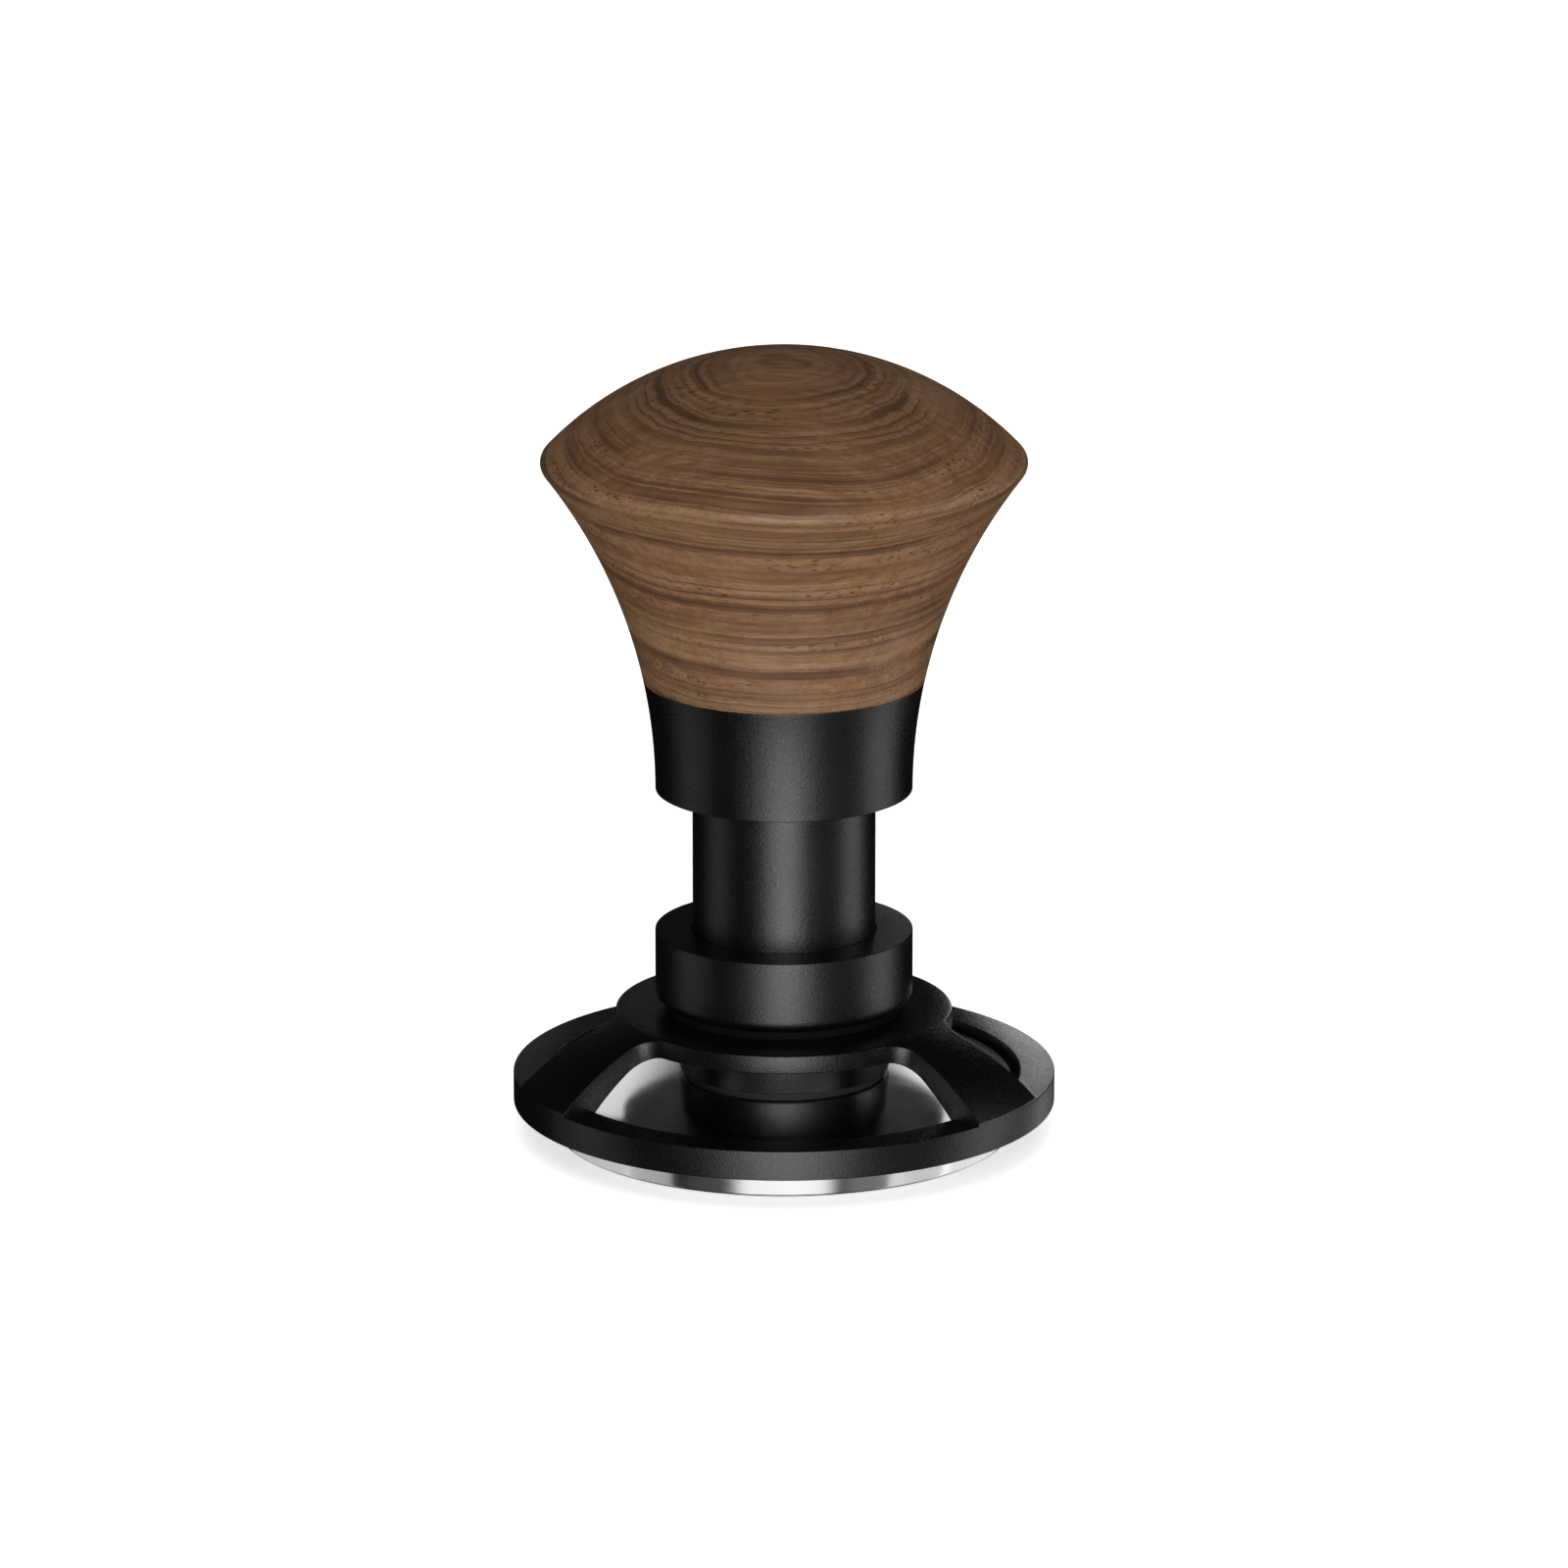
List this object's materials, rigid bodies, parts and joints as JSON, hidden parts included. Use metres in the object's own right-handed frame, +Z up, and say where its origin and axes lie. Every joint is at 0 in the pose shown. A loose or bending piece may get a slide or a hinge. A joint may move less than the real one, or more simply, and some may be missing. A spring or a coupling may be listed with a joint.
{
  "type": "espresso tamper",
  "caption": "Spring-loaded hand tamper for ground coffee, with a turned walnut knob, a sprung levelling ring that rests on the basket's rim, and a polished flat base.",
  "frame": {"origin": "centre of the base's lower face, which rests on the coffee or on the counter", "axes": "+Z up along the tamper's own axis, towards the knob; one arm of the ring points along +Y, so a window faces -Y"},
  "size_m": [0.069, 0.069, 0.1011],
  "materials": {
    "polished_steel": "mirror polished stainless steel",
    "turned_steel": "fine turned steel",
    "plated_fastener": "bright zinc-plated steel",
    "spring_steel": "drawn spring wire, lightly oiled",
    "black_anodised": "bead-blasted, black anodised, satin",
    "raw_aluminium": "turned, clear anodised",
    "walnut": "oiled walnut, satin, fine grain",
    "white_plastic": "matte PTFE and acetal",
    "black_plastic": "matte filled plastic",
    "black_rubber": "matte nitrile and silicone"
  },
  "bodies": {
    "plunger": {"base": "polished_steel", "bumper_washer": "black_rubber", "stem": "turned_steel", "piston": "turned_steel", "piston_ring": "white_plastic", "spring_washer": "plated_fastener", "jam_nut": "plated_fastener", "preload_bolt": "plated_fastener", "bolt_washer": "plated_fastener", "return_spring": "spring_steel", "main_spring": "spring_steel"},
    "leveller_seat": {"return_spring_seat": "plated_fastener"},
    "leveller": {"guide_tube": "black_anodised", "level_ring": "black_anodised", "clamp_washer": "black_plastic", "hub_collar": "black_anodised", "stem_bush": "black_plastic", "stem_oring": "black_rubber"},
    "handle_seat": {"main_spring_seat": "plated_fastener"},
    "handle": {"handle_collar": "black_anodised", "wiper_seal": "black_rubber", "collar_bush": "white_plastic", "knob_insert": "raw_aluminium", "insert_screws": "plated_fastener", "thrust_washer": "white_plastic", "stop_damper": "black_rubber", "knob": "walnut"}
  },
  "joints": [
    {"name": "leveller_slide", "type": "slide", "parent": "plunger", "child": "leveller_seat", "axis": [0, 0, 1], "range_m": [0, 0.01], "stiffness_N_per_m": 547, "springref_m": -0.0073, "deforming": ["return_spring"]},
    {"name": "leveller_spin", "type": "hinge", "parent": "leveller_seat", "child": "leveller", "pos_m": [0, 0, 0], "axis": [0, 0, 1], "continuous": true},
    {"name": "handle_press", "type": "slide", "parent": "plunger", "child": "handle_seat", "axis": [0, 0, -1], "range_m": [0, 0.008], "stiffness_N_per_m": 4600, "springref_m": -0.0163, "deforming": ["main_spring"]},
    {"name": "handle_spin", "type": "hinge", "parent": "handle_seat", "child": "handle", "pos_m": [0, 0, 0], "axis": [0, 0, 1], "continuous": true}
  ]
}
